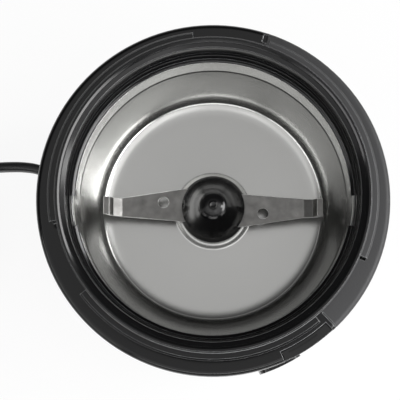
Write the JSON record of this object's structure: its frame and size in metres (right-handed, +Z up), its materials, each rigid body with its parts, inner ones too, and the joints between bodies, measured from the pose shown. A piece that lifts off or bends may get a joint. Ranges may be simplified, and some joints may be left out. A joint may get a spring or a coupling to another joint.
{
  "type": "electric spice grinder",
  "caption": "Compact electric spice grinder, lid off: steel bowl with a formed two-arm blade on a hub, bayonet collar, push button, lid interlock and coiled cord.",
  "frame": {"origin": "on the table, on the body's axis", "axes": "+Z up along the motor's axis, -Y towards the user, who faces the push button, +X to the user's right"},
  "size_m": [0.197, 0.1058, 0.1395],
  "materials": {
    "satin_black_plastic": "fine satin ABS, slightly textured",
    "gloss_black_plastic": "smooth glossy black",
    "stainless_steel": "bright spun and pressed stainless sheet",
    "spring_steel": "drawn wire",
    "plated_steel": "zinc-plated",
    "ground_steel": "ground bar",
    "lamination_steel": "stacked laminations, varnished",
    "copper": "enamelled copper",
    "sintered_bronze": "sintered, oil-filled",
    "brass": "nickelled brass blade",
    "carbon": "electrographite",
    "silicone": "translucent white silicone",
    "black_rubber": "matt moulded rubber",
    "white_nylon": "natural nylon",
    "red_plastic": "switch actuator",
    "cord_pvc": "soft black PVC sheath",
    "lead_insulation": "brown PVC insulation"
  },
  "bodies": {
    "housing": {"housing_shell": "satin_black_plastic", "top_collar": "gloss_black_plastic", "grinding_bowl": "stainless_steel", "bowl_gasket": "silicone", "support_deck": "satin_black_plastic", "collar_screws": "plated_steel", "shaft_seal": "black_rubber", "upper_bearing": "sintered_bronze", "upper_motor_bracket": "plated_steel", "lower_bearing": "sintered_bronze", "lower_motor_bracket": "plated_steel", "stator_core": "lamination_steel", "field_coils": "copper", "stator_bolts": "plated_steel", "brush_holders": "satin_black_plastic", "carbon_brushes": "carbon", "brush_springs": "spring_steel", "motor_grommets": "black_rubber", "motor_screws": "plated_steel", "button_spring": "spring_steel", "power_switch": "satin_black_plastic", "switch_carrier": "white_nylon", "interlock_spring": "spring_steel", "safety_switch": "satin_black_plastic", "clamped_cord": "cord_pvc", "internal_leads": "lead_insulation", "base_plate": "satin_black_plastic", "base_screws": "plated_steel", "rubber_feet": "black_rubber", "strain_relief": "cord_pvc", "cord_clamp": "white_nylon", "clamp_screws": "plated_steel", "power_cord": "cord_pvc", "cord_coil": "cord_pvc", "cord_tie": "white_nylon", "plug_body": "cord_pvc", "plug_pins": "brass"},
    "rotor": {"blade": "stainless_steel", "blade_hub": "gloss_black_plastic", "hub_cap": "gloss_black_plastic", "motor_shaft": "ground_steel", "armature_core": "lamination_steel", "armature_winding": "copper", "commutator": "copper", "cooling_fan": "white_nylon"},
    "button": {"power_button": "gloss_black_plastic"},
    "switch_slider": {"power_switch_plunger": "red_plastic"},
    "lid_key": {"interlock_key": "gloss_black_plastic"},
    "safety_slider": {"safety_switch_plunger": "red_plastic"}
  },
  "joints": [
    {"name": "rotor_spin", "type": "hinge", "parent": "housing", "child": "rotor", "pos_m": [0, 0, 0.1], "axis": [0, 0, 1], "continuous": true},
    {"name": "button_press", "type": "slide", "parent": "housing", "child": "button", "axis": [-0.4226, 0.9063, 0], "range_m": [0, 0.0025], "stiffness_N_per_m": 600, "springref_m": -0.002, "deforming": ["button_spring"]},
    {"name": "switch_push", "type": "slide", "parent": "housing", "child": "switch_slider", "axis": [-0.4226, 0.9063, 0], "range_m": [0, 0.002]},
    {"name": "key_press", "type": "slide", "parent": "housing", "child": "lid_key", "axis": [0, 0, -1], "range_m": [0, 0.0025], "stiffness_N_per_m": 300, "springref_m": -0.002, "deforming": ["interlock_spring"]},
    {"name": "safety_push", "type": "slide", "parent": "housing", "child": "safety_slider", "axis": [0, 0, -1], "range_m": [0, 0.002]}
  ],
  "couplings": [
    {"joint": "switch_push", "follows": "button_press", "ratio": 0.8},
    {"joint": "safety_push", "follows": "key_press", "ratio": 0.8}
  ]
}
